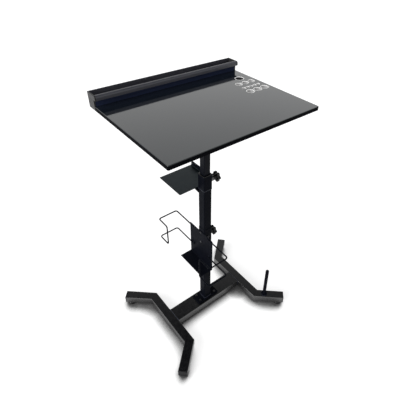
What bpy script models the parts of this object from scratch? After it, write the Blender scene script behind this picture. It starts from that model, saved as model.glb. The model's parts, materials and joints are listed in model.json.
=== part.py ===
"""Tattoo workstation: a work top with a bottle trough on a telescopic column and a splayed foot frame.

Metres, +Z up. X runs along the front edge of the top, +Y to the trough at the rear.
The origin is on the floor under the column's axis.
"""
import math

import bmesh
import bpy
from mathutils import Vector

# Fits
WELD_GAP = 0.0003       # between pieces that are welded, screwed or pressed together
SLIDE_GAP = 0.0003      # on each side of a piece that slides
HOLE_GAP = 0.0004       # round a screw or a stud, on the radius

# Tube stock
TUBE = 0.032            # square tube of the outer column, and height of the foot frame
FOOT_W = 0.035          # width of a foot, as high as TUBE
INNER_TUBE = 0.025      # square tube of the inner column
BEAM_W = 0.0635         # crossbeam, as high as TUBE
TUBE_WALL = 0.0016
TUBE_CORNER = 0.0028    # outer corner radius
SHEET = 0.002           # folded sheet of trough, shelf and holder
SHEET_BEND = 0.003      # bend radius on the sheet's middle
PLATE_EDGE = 0.0006     # bevel of a cut plate

# Foot frame
GLIDE_H = 0.012
GLIDE_R = 0.018
GLIDE_ROUND = 0.002
GLIDE_SHOULDER = 0.0045
GLIDE_STEM_R = 0.004
GLIDE_STEM = 0.014      # length above the pad
GLIDE_INSET = 0.023     # from the leg's outer end
FOOT_X = 0.174          # centre line of a foot's straight part
BEND_Y = 0.1285         # where a foot bends outward
SPLAY = math.radians(47)
LEG = 0.119             # from the bend to the plug's outer face
PLUG_HEAD = 0.003
PLUG_BODY = 0.014
PLUG_ROUND = 0.001
FLANGE_X = 0.100        # plate under the column
FLANGE_Y = 0.046
FLANGE_T = 0.005
FLANGE_BOLT_X = 0.036
FLANGE_BOLT_Y = 0.014
FLANGE_BOLT_R = 0.003
FLANGE_BOLT_HEX = 0.010
FLANGE_BOLT_HEAD = 0.004
BOLT_ROUND = 0.0006
FLANGE_BOLT_END = 0.008  # length below the beam's upper face
POST_ALONG = 0.036      # roll post, from the bend along the right front leg
POST_R = 0.007
POST_H = 0.150
POST_SEAT_R = 0.013
POST_SEAT = 0.004
POST_SEAT_ROUND = 0.0012
POST_DOME = 0.005

# Column, collar and shelf
COLUMN_TOP = 0.671
COLLAR = 0.0562         # length, down from the top of the outer tube
SLEEVE_WALL = 0.0010    # collar and holder sleeve
BUSH_DEPTH = 0.045
BUSH_FLANGE = 0.0022
LOCK_DROP = 0.029       # upper knob, below the top of the outer tube
BOSS_R = 0.009
BOSS_X = 0.0145
BOSS_ROUND = 0.001
SHELF_LEFT = -0.0885
SHELF_RIGHT = 0.046
SHELF_REAR = 0.140
SHELF_FLANGE = 0.018    # height of the turned-up right edge
GUSSET_TOP = 0.060      # widths of the web under the shelf
GUSSET_FOOT = 0.030
GUSSET_H = 0.022
GUSSET_T = 0.003

# Screw and rivet shapes, as shares of their own sizes
HEAD_CROWN = 0.6
HEAD_SHOULDER = 0.45
TIP_TAPER = 0.4

# Knobs
STUD_R = 0.004
STUD_BEVEL = 0.0012
KNOB_R = 0.019
KNOB_LOBES = 6
KNOB_LOBE_DEPTH = 0.0045
KNOB_HEAD = 0.012
KNOB_HUB_R = 0.0085
KNOB_HUB = 0.009
KNOB_BORE = 0.012       # depth of the stud in the knob
KNOB_ROUND = 0.0022
KNOB_GAP = 0.0005       # between a hub and the piece it turns on

# Glove box holder
HOLDER_Z = 0.403        # height of the lower knob
HOLDER_SLEEVE = 0.076
HOLDER_NUT = 0.0035
HOLDER_NUT_SIDE = 0.018
PLATE_Y = 0.066         # half width
PLATE_TOP = 0.0228      # above the knob
PLATE_FOOT = -0.126     # underside of the ledge, below the knob
LEDGE_REACH = 0.050
RIVET_R = 0.0024
RIVET_HEAD_R = 0.005
RIVET_HEAD = 0.0022
RIVET_Z = 0.028         # lower rivet, below the knob
WIRE_R = 0.0025
WIRE_BEND = 0.008
WIRE_OUT = -0.100       # outer run
WIRE_END_Y = 0.153      # end run
WIRE_DROP_Y = 0.0985    # upright run on the outer side
WIRE_LAP = 0.026        # length welded on the plate
WIRE_UPPER = 0.0205     # above the knob
WIRE_LOWER = -0.069

# Work top, from its upper face
TOP_Z = 0.913
TOP_W = 0.508
TOP_T = 0.0127
TOP_FRONT = -0.2035
TOP_REAR = 0.160
TOP_CORNER = 0.003
TOP_EDGE = 0.0012
SEAT_PLATE = 0.110      # plate on the inner column
SEAT_PLATE_T = 0.004
SEAT_CORNER = 0.006
SEAT_SCREW = 0.043      # off the axis, both ways
SCREW_R = 0.0021
SCREW_HEAD_R = 0.0035
SCREW_HEAD = 0.0024
SCREW_BITE = 0.009      # length in the work top
INNER_LENGTH = 0.430
SHOE = 0.012            # guide shoe below the inner column
SHOE_PLUG = 0.020

# Holes in the work top: radius, Y, and the X of each
CUP_HOLES = (
    (0.0130, 0.0915, (0.2120,)),
    (0.0090, 0.0535, (0.1760, 0.2030, 0.2295)),
    (0.0050, 0.0215, (0.1686, 0.1836, 0.1986, 0.2136, 0.2286)),
    (0.0110, -0.0080, (0.1690, 0.1990, 0.2290)),
)
CUP_BEVEL = 0.0010

# Bottle trough
TROUGH_REAR = 0.197
TROUGH_TOP = 0.0326     # above the work top
LIP_FRONT = 0.149
LIP_DROP = 0.014
LIP_BEND = 0.006
END_PLATE = 0.004
TROUGH_SCREW_X = (-0.170, 0.0, 0.170)
TROUGH_SCREW_BITE = 0.014

# Facets
CORNER_STEPS = 3
BEND_STEPS = 5
ROUND = 24              # sides of a turned piece or a hole
SCREW_SIDES = 12
KNOB_SIDES = 48
WIRE_ARC = 6
DOME_STEPS = 4
SMOOTH_ANGLE = math.radians(35)

# Places that follow from the sizes
BASE_TOP = GLIDE_H + TUBE
BEAM_HALF = FOOT_X - FOOT_W / 2 - WELD_GAP
FLANGE_BOTTOM = BASE_TOP + WELD_GAP
FLANGE_TOP = FLANGE_BOTTOM + FLANGE_T
COLLAR_BOTTOM = COLUMN_TOP - COLLAR
LOCK_Z = COLUMN_TOP - LOCK_DROP
SLEEVE_IN = TUBE + 2 * SLIDE_GAP
SLEEVE_OUT = SLEEVE_IN + 2 * SLEEVE_WALL
TUBE_IN = TUBE - 2 * TUBE_WALL
FOOT_IN = FOOT_W - 2 * TUBE_WALL
BORE_CORNER = TUBE_CORNER - TUBE_WALL
SLEEVE_CORNER = TUBE_CORNER + SLEEVE_WALL
INNER_IN = INNER_TUBE - 2 * TUBE_WALL
BOSS_START = SLEEVE_OUT / 2 + WELD_GAP
STUD_TIP = INNER_TUBE / 2 + SLIDE_GAP
HOLDER_STUD_TIP = TUBE / 2 + SLIDE_GAP
PLATE_X = -(SLEEVE_OUT / 2 + WELD_GAP)
WIRE_IN = PLATE_X - SHEET - WELD_GAP - WIRE_R
SEAT_TOP = -TOP_T - WELD_GAP
SEAT_BOTTOM = SEAT_TOP - SEAT_PLATE_T
INNER_TOP = SEAT_BOTTOM - WELD_GAP
INNER_BOTTOM = INNER_TOP - INNER_LENGTH
TROUGH_FRONT = TOP_REAR + WELD_GAP
TROUGH_HALF = TOP_W / 2 - END_PLATE - WELD_GAP

X_AXIS = Vector((1, 0, 0))
Y_AXIS = Vector((0, 1, 0))
Z_AXIS = Vector((0, 0, 1))


def clear_scene():
    """Remove whatever the file opened with."""
    for item in list(bpy.data.objects):
        bpy.data.objects.remove(item, do_unlink=True)


def material(name, colour, roughness, metallic=0.0):
    """Principled material of one plain colour."""
    made = bpy.data.materials.new(name)
    made.use_nodes = True
    shader = made.node_tree.nodes["Principled BSDF"]
    shader.inputs["Base Color"].default_value = (*colour, 1.0)
    shader.inputs["Roughness"].default_value = roughness
    shader.inputs["Metallic"].default_value = metallic
    return made


def empty(name, location):
    """Parent of the pieces that move together, on their joint's axis."""
    made = bpy.data.objects.new(name, None)
    made.location = location
    bpy.context.scene.collection.objects.link(made)
    return made


def add(name, bm, parent, finish):
    """Turn a bmesh into a named piece in its parent's frame."""
    mesh = bpy.data.meshes.new(name)
    bmesh.ops.recalc_face_normals(bm, faces=bm.faces)
    bm.to_mesh(mesh)
    bm.free()
    mesh.shade_smooth()
    mesh.set_sharp_from_angle(angle=SMOOTH_ANGLE)
    made = bpy.data.objects.new(name, mesh)
    bpy.context.scene.collection.objects.link(made)
    made.parent = parent
    if finish:
        mesh.materials.append(finish)
    return made


def add_cutter(name, bm, parent):
    """Hidden body that Booleans take away."""
    made = add(name, bm, parent, None)
    made.hide_render = True
    made.display_type = "WIRE"
    return made


def cut(piece, cutter):
    """Take a cutter away from a piece."""
    step = piece.modifiers.new(cutter.name, "BOOLEAN")
    step.operation = "DIFFERENCE"
    step.solver = "EXACT"
    step.object = cutter


def circle(radius, sides=ROUND):
    """Points round a circle."""
    turns = [2 * math.pi * index / sides for index in range(sides)]
    return [(radius * math.cos(turn), radius * math.sin(turn)) for turn in turns]


def lobed(radius, sides=KNOB_SIDES):
    """Points round the wavy edge of a star knob."""
    points = []
    for index in range(sides):
        turn = 2 * math.pi * index / sides
        reach = radius - KNOB_LOBE_DEPTH * (1 - math.cos(KNOB_LOBES * turn)) / 2
        points.append((reach * math.cos(turn), reach * math.sin(turn)))
    return points


def hexagon(across):
    """Corners and side middles of a hexagon, twelve points."""
    flat = across / 2
    corner = flat / math.cos(math.pi / 6)
    points = []
    for index in range(SCREW_SIDES):
        turn = 2 * math.pi * index / SCREW_SIDES
        reach = flat if index % 2 else corner
        points.append((reach * math.cos(turn), reach * math.sin(turn)))
    return points


def rounded(width, height, radius):
    """Points round a rectangle with round corners."""
    points = []
    for corner, (side, level) in enumerate(((1, 1), (-1, 1), (-1, -1), (1, -1))):
        for step in range(CORNER_STEPS + 1):
            turn = math.pi / 2 * (corner + step / CORNER_STEPS)
            across = side * (width / 2 - radius) + radius * math.cos(turn)
            along = level * (height / 2 - radius) + radius * math.sin(turn)
            points.append((across, along))
    return points


def ring(points, origin, across, along):
    """Flat points placed in space."""
    return [Vector(origin) + across * point[0] + along * point[1] for point in points]


def skin(bm, rings):
    """Side faces through rings of equally many points."""
    loops = [[bm.verts.new(point) for point in points] for points in rings]
    for first, second in zip(loops, loops[1:]):
        for index in range(len(first)):
            after = (index + 1) % len(first)
            bm.faces.new((first[index], first[after], second[after], second[index]))
    return loops


def loft(*rings):
    """Solid through rings, closed at both ends."""
    bm = bmesh.new()
    loops = skin(bm, rings)
    bm.faces.new(loops[0])
    bm.faces.new(loops[-1])
    return bm


def hollow(outer, inner):
    """Pipe between two sets of rings, open at both ends."""
    bm = bmesh.new()
    outside = skin(bm, outer)
    inside = skin(bm, inner)
    for far, near in ((outside[0], inside[0]), (outside[-1], inside[-1])):
        for index in range(len(far)):
            after = (index + 1) % len(far)
            bm.faces.new((far[index], far[after], near[after], near[index]))
    return bm


def turned(profile, origin, axis, sides=ROUND):
    """Turned solid: radius and distance along the axis, from one end to the other."""
    across = axis.orthogonal().normalized()
    along = axis.cross(across)
    rings = []
    for radius, step in profile:
        rings.append(ring(circle(radius, sides), Vector(origin) + axis * step, across, along))
    return loft(*rings)


def along_x(*steps):
    """Solid through outlines in Y and Z, each at its own X."""
    return loft(*(ring(outline, (place, 0, 0), Y_AXIS, Z_AXIS) for outline, place in steps))


def along_y(outline, start, end):
    """Even bar of an outline in X and Z."""
    return loft(*(ring(outline, (0, place, 0), X_AXIS, Z_AXIS) for place in (start, end)))


def level_ring(side, corner, level):
    """Rounded square round the column's axis at one height."""
    return ring(rounded(side, side, corner), (0, 0, level), X_AXIS, Y_AXIS)


def drills(holes, sides=SCREW_SIDES):
    """One cutter mesh from straight drills, each a start, an end and a radius."""
    bm = bmesh.new()
    for start, end, radius in holes:
        axis = (Vector(end) - Vector(start)).normalized()
        across = axis.orthogonal().normalized()
        along = axis.cross(across)
        loops = skin(bm, [ring(circle(radius, sides), point, across, along) for point in (start, end)])
        for loop in loops:
            bm.faces.new(loop)
    return bm


def square_pipe(side, wall, corner, start, end):
    """Upright square tube."""
    bore = side - 2 * wall
    inner_corner = corner - wall
    outer = [level_ring(side, corner, level) for level in (start, end)]
    inner = [level_ring(bore, inner_corner, level) for level in (start, end)]
    return hollow(outer, inner)


def slab(centre, size_x, size_y, corner, bottom, top, edge):
    """Level plate with round corners and bevelled edges."""
    rings = []
    for inset, level in ((edge, bottom), (0, bottom + edge), (0, top - edge), (edge, top)):
        outline = rounded(size_x - 2 * inset, size_y - 2 * inset, corner - inset / 2)
        rings.append(ring(outline, (centre[0], centre[1], level), X_AXIS, Y_AXIS))
    return loft(*rings)


def folded(corners, radii, thickness):
    """Outline of sheet of even thickness whose middle follows corners with round bends."""
    corners = [Vector(corner) for corner in corners]
    stations = []
    last = len(corners) - 1
    for index, corner in enumerate(corners):
        before = (corner - corners[max(index - 1, 0)]).normalized()
        after = (corners[min(index + 1, last)] - corner).normalized()
        if index == 0:
            stations.append((corner, Vector((-after.y, after.x))))
        elif index == last:
            stations.append((corner, Vector((-before.y, before.x))))
        else:
            radius = radii[index - 1]
            turn = math.atan2(before.x * after.y - before.y * after.x, before.dot(after))
            side = math.copysign(1, turn)
            left = Vector((-before.y, before.x))
            start = corner - before * radius * math.tan(abs(turn) / 2)
            centre = start + left * radius * side
            for step in range(BEND_STEPS + 1):
                swing = turn * step / BEND_STEPS
                cos, sin = math.cos(swing), math.sin(swing)
                normal = Vector((left.x * cos - left.y * sin, left.x * sin + left.y * cos))
                stations.append((centre - normal * radius * side, normal))
    half = thickness / 2
    return [point + normal * half for point, normal in stations] + [
        point - normal * half for point, normal in reversed(stations)]


def screw(seat, axis, head_r, head, shank_r, shank, sides=SCREW_SIDES):
    """Round-headed screw: its seat, the way it is driven, and the lengths either side of the seat."""
    profile = (
        (head_r * HEAD_CROWN, -head),
        (head_r, -head * HEAD_SHOULDER),
        (head_r, 0),
        (shank_r, 0),
        (shank_r, shank - shank_r * TIP_TAPER),
        (shank_r * (1 - TIP_TAPER), shank),
    )
    return turned(profile, seat, axis, sides)


def foot_path(side, leg):
    """Corners of a foot's centre line, from the front end to the rear end."""
    level = GLIDE_H + TUBE / 2
    reach_x = side * (FOOT_X + math.sin(SPLAY) * leg)
    reach_y = BEND_Y + math.cos(SPLAY) * leg
    return [
        Vector((reach_x, -reach_y, level)),
        Vector((side * FOOT_X, -BEND_Y, level)),
        Vector((side * FOOT_X, BEND_Y, level)),
        Vector((reach_x, reach_y, level)),
    ]


def mitred(path):
    """Centre and sideways vector of each cross-section along a level path."""
    sections = []
    last = len(path) - 1
    for index, point in enumerate(path):
        into = path[max(index, 1)] - path[max(index, 1) - 1]
        out = path[min(index, last - 1) + 1] - path[min(index, last - 1)]
        side_in = Z_AXIS.cross(into).normalized()
        side_out = Z_AXIS.cross(out).normalized()
        middle = (side_in + side_out).normalized()
        sections.append((point, middle / middle.dot(side_in)))
    return sections


def leg_way(side, end):
    """Direction of a leg from its bend to its outer end: side is left or right, end is front or rear."""
    return Vector((side * math.sin(SPLAY), end * math.cos(SPLAY), 0))


def add_foot(name, side, base, finish):
    """Bent foot with open ends and holes for the glides' stems."""
    sections = mitred(foot_path(side, LEG - PLUG_HEAD))
    outer = [ring(rounded(FOOT_W, TUBE, TUBE_CORNER), point, way, Z_AXIS) for point, way in sections]
    bore = rounded(FOOT_IN, TUBE_IN, BORE_CORNER)
    inner = [ring(bore, point, way, Z_AXIS) for point, way in sections]
    foot = add(name, hollow(outer, inner), base, finish)
    holes = []
    for end in (-1, 1):
        spot = Vector((side * FOOT_X, end * BEND_Y, GLIDE_H / 2)) + leg_way(side, end) * (LEG - GLIDE_INSET)
        holes.append((spot, spot + Z_AXIS * (GLIDE_H / 2 + TUBE / 2), GLIDE_STEM_R + HOLE_GAP))
    cut(foot, add_cutter(name + "_cutter", drills(holes), base))


def add_leg_end(name, side, end, base, finish):
    """Plug in the end of a leg, and the glide under it."""
    way = leg_way(side, end)
    sideways = Z_AXIS.cross(way)
    bend = Vector((side * FOOT_X, end * BEND_Y, 0))
    mouth = bend + way * (LEG - PLUG_HEAD) + Z_AXIS * (GLIDE_H + TUBE / 2)
    body = rounded(FOOT_IN - 2 * WELD_GAP, TUBE_IN - 2 * WELD_GAP, BORE_CORNER)
    face = rounded(FOOT_W, TUBE, TUBE_CORNER)
    crown = rounded(FOOT_W - 2 * PLUG_ROUND, TUBE - 2 * PLUG_ROUND, TUBE_CORNER)
    steps = (
        (body, -PLUG_BODY),
        (body, WELD_GAP),
        (face, WELD_GAP),
        (face, PLUG_HEAD - PLUG_ROUND),
        (crown, PLUG_HEAD),
    )
    rings = [ring(outline, mouth + way * step, sideways, Z_AXIS) for outline, step in steps]
    add("plug_" + name, loft(*rings), base, finish)
    top = GLIDE_H - WELD_GAP
    profile = (
        (GLIDE_R - GLIDE_ROUND, 0),
        (GLIDE_R, GLIDE_ROUND),
        (GLIDE_R, top - GLIDE_SHOULDER),
        (GLIDE_R - GLIDE_SHOULDER, top),
        (GLIDE_STEM_R, top),
        (GLIDE_STEM_R, top + GLIDE_STEM),
    )
    add("glide_" + name, turned(profile, bend + way * (LEG - GLIDE_INSET), Z_AXIS), base, finish)


def add_crossbeam(base, coat, steel):
    """Beam between the feet, the plate under the column and the bolts through both."""
    level = (0, 0, GLIDE_H + TUBE / 2)
    ends = [Vector(level) + X_AXIS * reach for reach in (-BEAM_HALF, BEAM_HALF)]
    outer = [ring(rounded(BEAM_W, TUBE, TUBE_CORNER), point, Y_AXIS, Z_AXIS) for point in ends]
    bore = rounded(BEAM_W - 2 * TUBE_WALL, TUBE_IN, BORE_CORNER)
    inner = [ring(bore, point, Y_AXIS, Z_AXIS) for point in ends]
    beam = add("crossbeam", hollow(outer, inner), base, coat)
    body = slab((0, 0), FLANGE_X, FLANGE_Y, TUBE_CORNER, FLANGE_BOTTOM, FLANGE_TOP, PLATE_EDGE)
    plate = add("column_plate", body, base, coat)
    spots = [(side * FLANGE_BOLT_X, end * FLANGE_BOLT_Y) for side in (-1, 1) for end in (-1, 1)]
    bottom = BASE_TOP - TUBE / 2
    top = FLANGE_TOP + FLANGE_T
    holes = [((x, y, bottom), (x, y, top), FLANGE_BOLT_R + HOLE_GAP) for x, y in spots]
    cutter = add_cutter("column_plate_cutter", drills(holes), base)
    cut(beam, cutter)
    cut(plate, cutter)
    seat = FLANGE_TOP + WELD_GAP
    shank = circle(FLANGE_BOLT_R, SCREW_SIDES)
    head = hexagon(FLANGE_BOLT_HEX)
    crown = hexagon(FLANGE_BOLT_HEX - 2 * BOLT_ROUND)
    steps = (
        (shank, BASE_TOP - FLANGE_BOLT_END),
        (shank, seat),
        (head, seat),
        (head, seat + FLANGE_BOLT_HEAD - BOLT_ROUND),
        (crown, seat + FLANGE_BOLT_HEAD),
    )
    for index, (x, y) in enumerate(spots):
        rings = [ring(outline, (x, y, height), X_AXIS, Y_AXIS) for outline, height in steps]
        add(f"column_bolt_{index + 1}", loft(*rings), base, steel)


def add_column(base, coat, plastic, zinc):
    """Outer tube with its guide bush, collar and lock boss, all drilled for the upper stud."""
    pipe = square_pipe(TUBE, TUBE_WALL, TUBE_CORNER, FLANGE_TOP + WELD_GAP, COLUMN_TOP)
    tube = add("outer_column", pipe, base, coat)
    pipe = square_pipe(SLEEVE_OUT, SLEEVE_WALL, SLEEVE_CORNER, COLLAR_BOTTOM, COLUMN_TOP)
    collar = add("collar", pipe, base, coat)
    body = TUBE_IN - 2 * WELD_GAP
    bore = INNER_TUBE + 2 * SLIDE_GAP
    rim = COLUMN_TOP + WELD_GAP
    foot = COLUMN_TOP - BUSH_DEPTH
    crown = rim + BUSH_FLANGE
    outer = [
        level_ring(body, BORE_CORNER, foot),
        level_ring(body, BORE_CORNER, rim),
        level_ring(SLEEVE_OUT, SLEEVE_CORNER, rim),
        level_ring(SLEEVE_OUT, SLEEVE_CORNER, crown),
    ]
    inner = [level_ring(bore, TUBE_CORNER, level) for level in (foot, crown)]
    bush = add("guide_bush", hollow(outer, inner), base, plastic)
    profile = ((BOSS_R, 0), (BOSS_R, BOSS_X - BOSS_ROUND), (BOSS_R - BOSS_ROUND, BOSS_X))
    boss = add("lock_boss", turned(profile, (BOSS_START, 0, LOCK_Z), X_AXIS), base, zinc)
    way = ((0, 0, LOCK_Z), (BOSS_START + 2 * BOSS_X, 0, LOCK_Z), STUD_R + HOLE_GAP)
    cutter = add_cutter("lock_cutter", drills([way], ROUND), base)
    for piece in (tube, collar, bush, boss):
        cut(piece, cutter)


def add_shelf(base, coat):
    """Sheet shelf behind the collar, turned up at its right edge, on a tapered web."""
    middle = COLLAR_BOTTOM + SHEET / 2
    right = SHELF_RIGHT - SHEET / 2
    corners = ((SHELF_LEFT, middle), (right, middle), (right, COLLAR_BOTTOM + SHEET + SHELF_FLANGE))
    outline = folded(corners, (SHEET_BEND,), SHEET)
    front = SLEEVE_OUT / 2 + WELD_GAP
    add("shelf", along_y(outline, front, SHELF_REAR), base, coat)
    top = COLLAR_BOTTOM - WELD_GAP
    web = (
        (-GUSSET_TOP / 2, top),
        (-GUSSET_FOOT / 2, top - GUSSET_H),
        (GUSSET_FOOT / 2, top - GUSSET_H),
        (GUSSET_TOP / 2, top),
    )
    start = TUBE / 2 + WELD_GAP
    add("shelf_web", along_y(web, start, start + GUSSET_T), base, coat)


def add_roll_post(base, coat):
    """Upright post for a roll on the right front leg."""
    spot = Vector((FOOT_X, -BEND_Y, BASE_TOP + WELD_GAP)) + leg_way(1, -1) * POST_ALONG
    profile = (
        (POST_SEAT_R, 0),
        (POST_SEAT_R, POST_SEAT - POST_SEAT_ROUND),
        (POST_SEAT_R - POST_SEAT_ROUND, POST_SEAT),
        (POST_R, POST_SEAT),
    )
    dome = []
    for step in range(DOME_STEPS):
        swing = math.pi / 2 * step / DOME_STEPS
        dome.append((POST_R * math.cos(swing), POST_H - POST_DOME * (1 - math.sin(swing))))
    add("roll_post", turned((*profile, *dome), spot, Z_AXIS), base, coat)


def add_knob(name, start, tip, pivot, plastic, zinc):
    """Star knob that turns on X from start outward, and its stud down to tip."""
    bore = STUD_R + HOLE_GAP
    hub_end = start + KNOB_HUB
    outer = hub_end + KNOB_HEAD
    steps = (
        (circle(bore, KNOB_SIDES), start + KNOB_BORE),
        (circle(bore, KNOB_SIDES), start),
        (circle(KNOB_HUB_R, KNOB_SIDES), start),
        (circle(KNOB_HUB_R, KNOB_SIDES), hub_end),
        (lobed(KNOB_R - KNOB_ROUND), hub_end),
        (lobed(KNOB_R), hub_end + KNOB_ROUND),
        (lobed(KNOB_R), outer - KNOB_ROUND),
        (lobed(KNOB_R - KNOB_ROUND), outer),
    )
    add(name, along_x(*steps), pivot, plastic)
    length = start + KNOB_BORE - WELD_GAP - tip
    profile = ((STUD_R - STUD_BEVEL, 0), (STUD_R, STUD_BEVEL), (STUD_R, length))
    add(name + "_stud", turned(profile, (tip, 0, 0), X_AXIS), pivot, zinc)


def add_wire(name, end, holder, coat):
    """Bent wire loop welded on the holder's plate, open at the middle of the outer side."""
    corners = [
        Vector((WIRE_IN, end * (PLATE_Y - WIRE_LAP), WIRE_UPPER)),
        Vector((WIRE_IN, end * WIRE_END_Y, WIRE_UPPER)),
        Vector((WIRE_OUT, end * WIRE_END_Y, WIRE_UPPER)),
        Vector((WIRE_OUT, end * WIRE_DROP_Y, WIRE_UPPER)),
        Vector((WIRE_OUT, end * WIRE_DROP_Y, WIRE_LOWER)),
        Vector((WIRE_OUT, end * WIRE_END_Y, WIRE_LOWER)),
        Vector((WIRE_IN, end * WIRE_END_Y, WIRE_LOWER)),
        Vector((WIRE_IN, end * (PLATE_Y - WIRE_LAP), WIRE_LOWER)),
    ]
    points = [corners[0]]
    for before, corner, after in zip(corners, corners[1:], corners[2:]):
        back = (before - corner).normalized()
        ahead = (after - corner).normalized()
        centre = corner + (back + ahead) * WIRE_BEND
        for step in range(WIRE_ARC + 1):
            swing = math.pi / 2 * step / WIRE_ARC
            points.append(centre - WIRE_BEND * (ahead * math.cos(swing) + back * math.sin(swing)))
    points.append(corners[-1])
    data = bpy.data.curves.new(name, "CURVE")
    data.dimensions = "3D"
    data.bevel_depth = WIRE_R
    data.bevel_resolution = 2
    data.use_fill_caps = True
    data.twist_mode = "MINIMUM"
    line = data.splines.new("POLY")
    line.points.add(len(points) - 1)
    for spot, point in zip(line.points, points):
        spot.co = (*point, 1)
    data.materials.append(coat)
    made = bpy.data.objects.new(name, data)
    bpy.context.scene.collection.objects.link(made)
    made.parent = holder


def add_holder(holder, coat, steel):
    """Glove box holder: sleeve on the column, nut, plate with a ledge, rivets and wire loops."""
    half = HOLDER_SLEEVE / 2
    pipe = square_pipe(SLEEVE_OUT, SLEEVE_WALL, SLEEVE_CORNER, -half, half)
    sleeve = add("holder_sleeve", pipe, holder, coat)
    block = rounded(HOLDER_NUT_SIDE, HOLDER_NUT_SIDE, TUBE_CORNER)
    nut = add("holder_nut", along_x((block, BOSS_START), (block, BOSS_START + HOLDER_NUT)), holder, steel)
    middle = PLATE_X - SHEET / 2
    ledge = PLATE_FOOT + SHEET / 2
    corners = ((middle, PLATE_TOP), (middle, ledge), (middle - LEDGE_REACH, ledge))
    outline = folded(corners, (SHEET_BEND,), SHEET)
    plate = add("holder_plate", along_y(outline, -PLATE_Y, PLATE_Y), holder, coat)
    hole = RIVET_R + HOLE_GAP
    inner_face = -SLEEVE_IN / 2
    reach = SLEEVE_OUT / 2 + SHEET
    levels = (-RIVET_Z, PLATE_TOP - RIVET_HEAD_R - WELD_GAP)
    ways = [((-TUBE / 4, 0, level), (-2 * reach, 0, level), hole) for level in levels]
    ways.append(((0, -TUBE / 4, 0), (0, -2 * reach, 0), hole))
    ways.append(((TUBE / 4, 0, 0), (2 * reach, 0, 0), STUD_R + HOLE_GAP))
    cutter = add_cutter("holder_cutter", drills(ways), holder)
    for piece in (sleeve, nut, plate):
        cut(piece, cutter)
    seat = PLATE_X - SHEET - WELD_GAP
    for index, level in enumerate(levels):
        body = screw((seat, 0, level), X_AXIS, RIVET_HEAD_R, RIVET_HEAD, RIVET_R, inner_face - seat)
        add(f"holder_rivet_{index + 1}", body, holder, steel)
    seat = -SLEEVE_OUT / 2 - WELD_GAP
    body = screw((0, seat, 0), Y_AXIS, RIVET_HEAD_R, RIVET_HEAD, RIVET_R, inner_face - seat)
    add("holder_screw", body, holder, steel)
    add_wire("wire_loop_rear", 1, holder, coat)
    add_wire("wire_loop_front", -1, holder, coat)


def add_inner_column(lift, coat, plastic):
    """Inner tube that carries the work top, and the guide shoe in its lower end."""
    pipe = square_pipe(INNER_TUBE, TUBE_WALL, TUBE_CORNER, INNER_BOTTOM, INNER_TOP)
    add("inner_column", pipe, lift, coat)
    plug = INNER_IN - 2 * WELD_GAP
    shoe = TUBE_IN - 2 * SLIDE_GAP
    top = INNER_BOTTOM - WELD_GAP
    steps = ((plug, INNER_BOTTOM + SHOE_PLUG), (plug, top), (shoe, top), (shoe, top - SHOE))
    rings = [level_ring(side, BORE_CORNER, level) for side, level in steps]
    add("guide_shoe", loft(*rings), lift, plastic)


def add_top(lift, gloss, coat, steel):
    """Work top with its cup holes, and the plate and screws that hold it on the column."""
    centre = (0, (TOP_FRONT + TOP_REAR) / 2)
    body = slab(centre, TOP_W, TOP_REAR - TOP_FRONT, TOP_CORNER, -TOP_T, 0, TOP_EDGE)
    top = add("work_top", body, lift, gloss)
    bm = bmesh.new()
    for radius, y, row in CUP_HOLES:
        for x in row:
            profile = (
                (radius, -2 * TOP_T),
                (radius, -CUP_BEVEL),
                (radius + 2 * CUP_BEVEL, CUP_BEVEL),
            )
            loops = skin(bm, [ring(circle(size), (x, y, level), X_AXIS, Y_AXIS) for size, level in profile])
            bm.faces.new(loops[0])
            bm.faces.new(loops[-1])
    cut(top, add_cutter("cup_cutter", bm, lift))
    body = slab((0, 0), SEAT_PLATE, SEAT_PLATE, SEAT_CORNER, SEAT_BOTTOM, SEAT_TOP, PLATE_EDGE)
    plate = add("seat_plate", body, lift, coat)
    spots = [(side * SEAT_SCREW, end * SEAT_SCREW) for side in (-1, 1) for end in (-1, 1)]
    hole = SCREW_R + HOLE_GAP
    depth = SCREW_BITE - TOP_T + HOLE_GAP
    ways = [((x, y, SEAT_BOTTOM - SEAT_PLATE_T), (x, y, depth), hole) for x, y in spots]
    cutter = add_cutter("seat_cutter", drills(ways), lift)
    cut(top, cutter)
    cut(plate, cutter)
    seat = SEAT_BOTTOM - WELD_GAP
    for index, (x, y) in enumerate(spots):
        body = screw((x, y, seat), Z_AXIS, SCREW_HEAD_R, SCREW_HEAD, SCREW_R, SCREW_BITE - TOP_T - seat)
        add(f"seat_screw_{index + 1}", body, lift, steel)
    return top


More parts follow.
